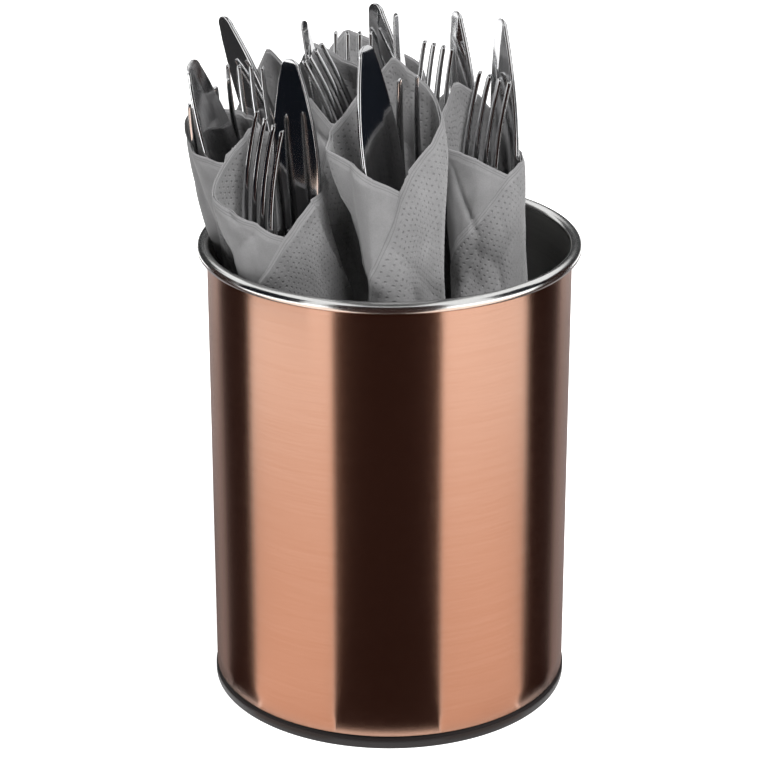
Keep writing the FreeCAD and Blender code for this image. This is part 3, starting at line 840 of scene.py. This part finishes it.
def creases(seed, arc, height):
    """Fine folds: each adds depth * exp(-|way to a slanted line| / width) * exp(-(way along it)^2).

    A slow wave, the product of two sines, lies under them. All of it is seeded.
    """
    rng = np.random.default_rng(seed)
    total = np.zeros_like(arc)
    for _ in range(40):
        slant = rng.uniform(-0.8, 0.8)
        beside = round_way(arc, rng.uniform(-47.0, 47.0))
        above = height - rng.uniform(130.0, 205.0)
        away = beside * math.cos(slant) + above * math.sin(slant)
        along = above * math.cos(slant) - beside * math.sin(slant)
        fade = np.exp(-(along / rng.uniform(9.0, 26.0)) ** 2)
        total += rng.uniform(-1.5, 0.9) * np.exp(-np.abs(away) / rng.uniform(0.8, 3.0)) * fade
    a = arc / MEAN_R
    slow = np.sin(3.0 * a + height * 0.05 + seed) * np.sin(height * 0.085 + a + 2.0 * seed)
    return total + 0.22 * slow


def folded(fold, arc, height):
    """out * exp(-way/width) beside a line; a one-sided fold rises within 0.7 mm and then fades."""
    a0, h0, a1, h1, out, width, side = fold
    start = np.array([math.radians(a0) * MEAN_R, h0])
    line = np.array([math.radians(a1) * MEAN_R, h1]) - start
    length = np.hypot(*line)
    line = line / length
    beside = round_way(arc, start[0])
    along = beside * line[0] + (height - h0) * line[1]
    away = beside * line[1] - (height - h0) * line[0]
    if side:
        shape = smoothstep(away * side / 0.7) * np.exp(-np.maximum(away * side, 0.0) / width)
    else:
        shape = np.exp(-np.sqrt(away**2 + 0.04) / width)
    return out * shape * smoothstep(along / 9.0 + 0.6) * smoothstep((length - along) / 12.0 + 0.4)


def napkin_radius(s, n, seed, table, angle, height):
    """Cone radius, pressed flat on the flats, plus lobes, at least the cutlery's reach, plus folds.

    A fold may press the paper in no further than 0.15 mm past the room that the cutlery needs.
    """
    _, _, way = roll_frame(s)
    cone = FOOT_R + (s["spread"] * WALL_IN_R - FOOT_R) * height / way
    radius = cone - 0.5 - n["slim"] * np.exp(-((height - 148.0) / 30.0) ** 2)
    for at, share, twist in n["flats"]:
        facing = np.cos(np.radians(angle - at - twist * (height - 150.0)))
        radius = soft_min(radius, cone * share / np.maximum(facing, 0.3), 0.5)
    for at, width, out, low, high in n["lobes"]:
        near = (angle - at + 180.0) % 360.0 - 180.0
        full = smoothstep((height - low) / (high - low))
        radius = radius + out * np.exp(-np.abs(near / width) ** 1.3) * full
    need = look_up(table, angle, height) + ROOM + PLY
    radius = soft_max(radius, np.minimum(need, cone), 0.6)
    arc = np.radians(angle) * MEAN_R
    total = creases(seed, arc, height) * smoothstep(height / 40.0)
    for fold in n["folds"]:
        total = total + folded(fold, arc, height)
    return np.maximum(radius + total, np.minimum(need - 0.15, cone))


def on_strip(s, n, seed, table, angle, height, hem):
    """The paper's outer side at an angle and height: foot + axes (r sin a, r cos a, h).

    From 92 to 128 degrees the strip's end steps out by LAP, and then lies on its own start.
    """
    foot, axes, _ = roll_frame(s)
    layer = LAP * smoothstep((angle - 92.0) / 36.0)
    wave = 0.45 * np.exp(-np.maximum(hem - height, 0.0) / 7.0) * np.sin(np.radians(angle) * 4.0 + seed)
    radius = napkin_radius(s, n, seed, table, angle, height) + layer + wave
    a = np.radians(angle)
    return np.stack([radius * np.sin(a), radius * np.cos(a), height], -1) @ axes.T + foot, radius


def hem_section(cut, drop):
    """Way below the hem and way in from the outer side for the rows that round the hem.

    The hem is a double leaf. The outer leaf's plies end one below the other, which shows as
    fine ledges where cut is 1; a slot 2.4 mm deep parts it from the inner leaf, which ends
    lower by drop.
    """
    leaf = 0.34 + 0.5 * cut
    plain = (HEM_DEPTH, 22.2, 20.4, 18.6, 16.8, 15.0, 13.3, 11.6, 10.0, 8.5, 7.1, 5.8, 4.6, 3.6, 2.85)
    ledges = ((2.7, 0.24), (1.95, 0.24), (1.8, 0.44), (1.1, 0.44), (0.95, 0.62), (0.15, 0.62))
    inner = ((0.12, 0.36), (0.0, 0.42), (0.0, 0.60), (0.15, 0.68), (1.0, 0.66), (2.4, 0.6), (4.0, 0.4))
    thinning = (8.3, 9.6, 10.9, 12.2, 13.5, 14.8, 16.1, 17.4, 18.7, 20.0, 21.4)
    rows = [(d, 0.0) for d in plain] + [(d, step * cut) for d, step in ledges]
    rows += [(0.0, 0.6 * cut + 0.12), (0.0, leaf - 0.06), (0.12, leaf)]
    rows += [(2.4, leaf + 0.02), (2.4, leaf + 0.30)]
    rows += [(drop + d, leaf + step) for d, step in inner]
    rows += [(drop + 5.5, 0.5 * leaf + 0.57), (drop + 7.0, 0.75)]
    rows += [(drop + d, 0.75 - 0.2 * min(d - 7.0, 6.0) / 6.0) for d in thinning]
    rows += [(HEM_DEPTH, PLY)]
    return tuple(np.stack([row[i] + 0.0 * cut for row in rows]) for i in (0, 1))


def napkin_strip(name, seed):
    """Rows run out over the foot, up the outer side, round the hem, and down the inner side.

    Each point is the outer side's point less the paper's depth there along the normal, which
    is the cross product of the ways round and up. UV runs along the hem and down from it.
    """
    s, n = SETS[name], NAPKINS[name]
    foot, axes, _ = roll_frame(s)
    table = cutlery_reach(s)
    hem_angle, hem_height = np.array(n["hem"], dtype=float).T
    angle = np.unique(np.concatenate([np.arange(hem_angle[0], hem_angle[-1], 2.5), hem_angle]))
    hem = np.interp(angle, hem_angle, hem_height)
    cut = 0.25 + 0.75 * smoothstep((angle + 70.0) / 50.0)
    drop = 0.55 + 0.45 * np.sin(np.radians(angle) * 2.3 + seed)
    near, inset = hem_section(cut, drop)
    tilt = axes[2, 0] * np.sin(np.radians(angle)) + axes[2, 1] * np.cos(np.radians(angle))
    low = -FOOT_R * tilt / axes[2, 2] + 0.35
    share = 1.0 - (1.0 - np.linspace(0.0, 1.0, 60)[:-1, None]) ** 1.3
    far = low + (hem - HEM_DEPTH - low) * share
    height = np.concatenate([far, hem - near, far[::-1]])
    inset = np.concatenate([np.zeros_like(far), inset, np.full_like(far, PLY)])
    full = np.broadcast_to(angle, height.shape)
    spot, radius = on_strip(s, n, seed, table, full, height, hem)
    around_way = on_strip(s, n, seed, table, full + 1.0, height, hem)[0] - spot
    up_way = on_strip(s, n, seed, table, full, height + 0.5, hem)[0] - spot
    normal = np.cross(up_way, around_way)
    normal /= np.linalg.norm(normal, axis=-1, keepdims=True)
    side = spot - normal * inset[..., None]
    disc = np.linspace(0.03, 0.97, 6)[:, None] ** 0.8
    a = np.radians(angle)
    out = radius[0] * disc
    flat = np.stack([out * np.sin(a), out * np.cos(a), np.broadcast_to(low, out.shape)], -1) @ axes.T + foot
    points = np.concatenate([flat, side, flat[::-1] + axes[:, 2] * PLY])
    points[..., 2] = np.maximum(points[..., 2], foot[2] + 0.02)
    deep = np.full_like(out, FOOT_DEPTH)
    depth = np.concatenate([deep, hem - height, deep])
    slope = np.gradient(hem, a * MEAN_R)
    slope = np.convolve(np.pad(slope, 8, mode="edge"), np.ones(17) / 17, mode="valid")
    bend = np.sqrt(1.0 + slope**2)
    run = np.concatenate([[0.0], np.cumsum(np.diff(a) * MEAN_R * (bend[1:] + bend[:-1]) / 2)])
    uv = np.stack([run - depth * slope / bend, depth / bend], -1)
    embossed = np.broadcast_to(smoothstep((angle + 112.0) / 12.0), depth.shape)
    return points, uv * MM, embossed


def napkin_piece(name, seed):
    """The strip's rows joined to a ring, and its two ends closed between outer and inner side."""
    points, uv, embossed = napkin_strip(name, seed)
    rows, columns = embossed.shape
    number = np.arange(rows * columns).reshape(rows, columns)
    half = rows // 2
    ends = []
    for column, flip in ((0, 1), (columns - 1, -1)):
        line = number[:, column]
        i = np.arange(half - 1)
        ends.append(np.stack([line[i], line[i + 1], line[rows - 2 - i], line[rows - 1 - i]], -1)[:, ::flip])
    faces = np.concatenate([grid_faces(rows, columns, wrap_rows=True)] + ends)
    return mesh_piece("paper_" + name, points.reshape(-1, 3), faces, uv=uv.reshape(-1, 2),
                      values={"embossed": embossed.ravel()}, merge=0.0005)

# %% [markdown]
# ## Paper finish
#
# Tissue paper has no gloss. It looks soft because of its fibres, which show as a fine cloudy
# bump, and because of the embossing that holds its plies together: small pits in rows that
# follow the hems. The pits are drawn on the strip's own UV map, whose V is the way from the
# hem, and a point attribute keeps them off the left flap, where the sheet's plain side shows.
# The pits, and two ledges just below the hem where the outer plies end, are also darkened in
# the paper's colour: painted shade in the pits and painted shadow lines under the ledges.

# %% Embossed pits as a group
def pits_group():
    """1 in a round pit and 0 between, in rows Pitch apart with every second row set half over.

    The second output is 1 on the two ledges, 0.8 and 1.6 mm below the hem, where the outer plies
    end; the paper's colour is darkened there as painted shadow lines.
    """
    group, given, result = new_group(
        "embossed pits", {"UV": "Vector", "Pitch": "Float", "Radius": "Float"},
        {"Mask": "Float", "ShadowLines": "Float"})
    uv, pitch, radius = (given.outputs[name] for name in ("UV", "Pitch", "Radius"))
    cells = add(group, "VectorMath", {0: uv, 1: pitch}, operation="DIVIDE")
    split = add(group, "SeparateXYZ", {0: cells.outputs[0]})
    odd = calc(group, "MODULO", calc(group, "FLOOR", split.outputs[1]), 2.0)
    over = calc(group, "ADD", split.outputs[0], calc(group, "MULTIPLY", odd, 0.5))
    from_middle = [calc(group, "SUBTRACT", calc(group, "FRACT", value), 0.5)
                   for value in (over, split.outputs[1])]
    away = add(group, "CombineXYZ", dict(enumerate(from_middle)))
    size = add(group, "VectorMath", {0: away.outputs[0]}, operation="LENGTH")
    metres = calc(group, "MULTIPLY", size.outputs["Value"], pitch)
    mask = add(group, "MapRange", {"Value": metres, "From Min": calc(group, "MULTIPLY", radius, 0.35),
                                   "From Max": radius, "To Min": 1.0, "To Max": 0.0},
               interpolation_type="SMOOTHSTEP")
    depth = add(group, "SeparateXYZ", {0: uv}).outputs[1]
    below = calc(group, "GREATER_THAN", depth, 0.0026)
    group.links.new(calc(group, "MULTIPLY", mask.outputs[0], below), result.inputs["Mask"])
    first, second = (calc(group, "COMPARE", depth, ledge, 0.00013) for ledge in (0.0008, 0.0016))
    group.links.new(calc(group, "MAXIMUM", first, second), result.inputs["ShadowLines"])
    return group


PITS = pits_group()


# %% Paper material
def grey_tissue():
    """Grey layered tissue: fibre bump, cloudy colour, embossed pits, and painted shade in the pits and along
    two ledges below the hem.
    """
    made, tree, shader = new_material("paper_grey", Roughness=0.95, Specular_IOR_Level=0.15,
                                      Sheen_Weight=0.25, Sheen_Roughness=0.6)
    at = add(tree, "TexCoord").outputs["Object"]
    fibre = grain(tree, at, 2600.0)
    cloud = grain(tree, at, 160.0)
    uv = add(tree, "UVMap", uv_map="sheet").outputs[0]
    pits = add(tree, "Group", {"UV": uv, "Pitch": 0.0021, "Radius": 0.00052}, node_tree=PITS)
    where = add(tree, "Attribute", attribute_name="embossed").outputs["Fac"]
    mask = calc(tree, "MULTIPLY", pits.outputs["Mask"], where)
    mask = calc(tree, "MULTIPLY", mask, around(tree, 0.75, grain(tree, at, 300.0, 1.2)))
    # Painted shadow lines: the two ledges 0.8 and 1.6 mm below the hem are darkened in colour.
    painted_ply_shadow = calc(tree, "MULTIPLY", pits.outputs["ShadowLines"], 0.9)
    # Painted shade: pit floors and the ledge lines are mixed 40 % of the way to a near-black grey.
    dark = calc(tree, "MULTIPLY", calc(tree, "MAXIMUM", mask, painted_ply_shadow), 0.40)
    base = tinted(tree, (0.19, 0.188, 0.19), (0.285, 0.282, 0.285),
                  around(tree, 0.5, calc(tree, "ADD", fibre, cloud)))
    colour = add(tree, "Mix", {0: dark, 6: base, 7: (0.07, 0.07, 0.072, 1.0)}, data_type="RGBA")
    feed(tree, shader, Base_Color=colour.outputs[2])
    height = calc(tree, "SUBTRACT", calc(tree, "MULTIPLY", fibre, 0.35), mask)
    bumped(tree, shader, height, 0.00022)
    return made


PAPER_GREY = grey_tissue()

# %% Roll the napkins
# A square of 330 mm folded in four is a sheet of 165 mm; it rests on the pot's floor and holds.
for seed, name in enumerate(NAPKINS, 3):
    paper = napkin_piece(name, seed)
    paper.data.materials.append(PAPER_GREY)
    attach(paper, "set_" + name)
    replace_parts(paper, "napkin_" + name)
    print(paper.name, len(paper.data.polygons), "faces")

# %% [markdown]
# ## Studio
#
# The floor is plain and pale and the world is white, so polished metal has something white to
# reflect. Four soft lamps light the paper. Metal would look flat with white all round it, so
# dark cards stand round the pot, and their reflections are the dark bands that make a cylinder
# look round. The cards are seen only in reflections.

# %% World, floor and lamps
# lamp: where it is, in metres, the side of its square, and its watts.
LAMPS = {
    "left": ((-1.3, -0.12, 0.6), 0.5, 5.5),
    "right": ((0.33, -0.80, 1.43), 0.4, 29.0),
    "top": ((-0.1, -0.3, 1.5), 0.8, 4.5),
    "back": ((-0.2, 1.1, 0.9), 0.8, 5.0),
}
WORLD_LIGHT = 0.105
FLOOR_LIFT = 0.82
ONE_QUAD = np.array([[0, 1, 2, 3]])


def rays(tree, *kinds):
    """1 for rays of the named kinds and 0 for all others."""
    path = add(tree, "LightPath")
    found = [path.outputs[f"Is {kind} Ray"] for kind in kinds]
    chosen = found[0]
    for socket in found[1:]:
        chosen = calc(tree, "MAXIMUM", chosen, socket)
    return chosen


def level_corners(x0, x1, y0, y1, z):
    """The corners of a level rectangle."""
    return np.array([[x0, y0, z], [x1, y0, z], [x1, y1, z], [x0, y1, z]])


def white_world():
    """White wherever a camera, glossy or transmission ray leaves the scene, soft grey as a lamp."""
    world = bpy.data.worlds.new("studio")
    world.use_nodes = True
    tree = world.node_tree
    background = tree.nodes["Background"]
    seen = rays(tree, "Camera", "Glossy", "Transmission")
    strength = add(tree, "MapRange", {"Value": seen, "To Min": WORLD_LIGHT, "To Max": 1.0})
    background.inputs["Color"].default_value = (1.0, 1.0, 1.0, 1.0)
    tree.links.new(strength.outputs[0], background.inputs["Strength"])
    bpy.context.scene.world = world


def pale_floor():
    """A wide plane. Seen rays get a little light from it, so that it is white outside shadows."""
    half = 4000.0
    floor = mesh_piece("studio_floor", level_corners(-half, half, -half, half, 0.0), ONE_QUAD)
    made, tree, shader = new_material("floor_pale", Roughness=0.9, Specular_IOR_Level=0.1,
                                      Base_Color=(0.88, 0.88, 0.88, 1.0),
                                      Emission_Color=(1.0, 1.0, 1.0, 1.0))
    feed(tree, shader, Emission_Strength=calc(tree, "MULTIPLY", rays(tree, "Camera", "Glossy"), FLOOR_LIFT))
    floor.data.materials.append(made)


def soft_lamp(name, at, size, watts):
    """A square area lamp that looks at the middle of the object."""
    lamp = bpy.data.lights.new(name, "AREA")
    lamp.size = size
    lamp.energy = watts
    thing = bpy.data.objects.new(name, lamp)
    thing.location = at
    away = np.array(at) - np.array([0.0, 0.0, 0.15])
    pitch = math.atan2(math.hypot(away[0], away[1]), away[2])
    thing.rotation_euler = (pitch, 0.0, math.atan2(away[1], away[0]) + math.pi / 2)
    thing.visible_glossy = False
    bpy.context.scene.collection.objects.link(thing)


white_world()
pale_floor()
for name, lamp in LAMPS.items():
    soft_lamp("lamp_" + name, *lamp)
print("lamps:", list(LAMPS))

# %% Cards round the pot
BAND_POINTS = 14


def shade(name, colour):
    """A plain matt card."""
    return new_material(name, Roughness=1.0, Specular_IOR_Level=0.0, Base_Color=(*colour, 1.0))[0]


UMBER = shade("card_umber", (0.30, 0.275, 0.275))
NAVY = shade("card_navy", (0.014, 0.017, 0.024))
SAND = shade("card_sand", (0.93, 0.73, 0.62))
SLATE = shade("card_slate", (0.05, 0.05, 0.052))
DUSK = shade("card_dusk", (0.027, 0.0155, 0.0135))
GREY = shade("card_grey", (0.12, 0.12, 0.12))


def studio_card(name, points, faces, material):
    """A card that only reflections see: it takes no light from the object and casts no shadow."""
    card = mesh_piece(name, points, faces)
    card.data.materials.append(material)
    card.visible_camera = False
    card.visible_diffuse = False
    card.visible_shadow = False
    card.visible_transmission = False


def band_card(name, side, out, top, material, bottom=2.0):
    """A card for one upright band: p = R n(a) + t n(2a), where a is the angle on the cylinder.

    A ray from the front that meets a cylinder at angle a leaves at 2a, so a card between two
    such rays gives a band with straight sides. It lies low over the floor along t, at the height
    bottom, and then stands up to top.
    """
    a = np.radians(np.linspace(*side, BAND_POINTS))
    t = np.concatenate([np.linspace(*out, BAND_POINTS), np.full(BAND_POINTS, out[1])])[:, None]
    z = np.concatenate([np.full(BAND_POINTS, bottom), np.linspace(bottom, top, BAND_POINTS)])[:, None]
    x = WALL_OUT_R * np.sin(a) + t * np.sin(2 * a)
    y = -WALL_OUT_R * np.cos(a) - t * np.cos(2 * a)
    points = np.stack([x, y, np.broadcast_to(z, x.shape)], -1).reshape(-1, 3)
    studio_card(name, points, grid_faces(len(t), BAND_POINTS), material)


band_card("card_front", (-17.9, 16.5), (2.0, 1500.0), 1300.0, DUSK)
band_card("card_left", (-66.0, -48.7), (2.0, 520.0), 380.0, DUSK)
band_card("card_left_edge", (-87.0, -66.0), (2.0, 520.0), 8.0, UMBER)
band_card("card_right", (47.8, 66.0), (2.0, 520.0), 380.0, DUSK)
band_card("card_right_edge", (66.0, 87.0), (2.0, 520.0), 8.0, UMBER)
band_card("card_warm_left", (-48.2, -18.4), (1.5, 260.0), 3.0, SAND, bottom=1.0)
band_card("card_warm_right", (17.0, 47.3), (1.5, 260.0), 3.0, SAND, bottom=1.0)
band_card("card_back", (52.0, 110.0), (1400.0, 1450.0), 900.0, SLATE, bottom=60.0)

studio_card("card_above", level_corners(-450.0, 450.0, -1500.0, 1900.0, 1650.0), ONE_QUAD, GREY)


# %% Flags to the left and right
def flag(name, centre, azimuth, width, levels, material):
    """An upright card 40 mm or more clear of the bead: corners centre +- width/2 across, two levels.

    azimuth, from the front and positive to the right, is the way from the pot to the card.
    """
    a = math.radians(azimuth)
    side = np.array([math.cos(a), math.sin(a)]) * width / 2
    low, high = [np.append(np.array(centre) - side, z) for z in levels]
    points = np.stack([low, low + np.append(2 * side, 0.0), high + np.append(2 * side, 0.0), high])
    studio_card(name, points, ONE_QUAD, material)


flag("flag_front_left", (-85.5, -65.5), -62.0, 64.0, (146.0, 208.0), NAVY)
flag("flag_front_right", (106.0, -59.0), 86.0, 64.0, (160.0, 232.0), NAVY)
flag("flag_back_left", (-108.0, 46.0), -101.0, 64.0, (150.0, 210.0), SLATE)
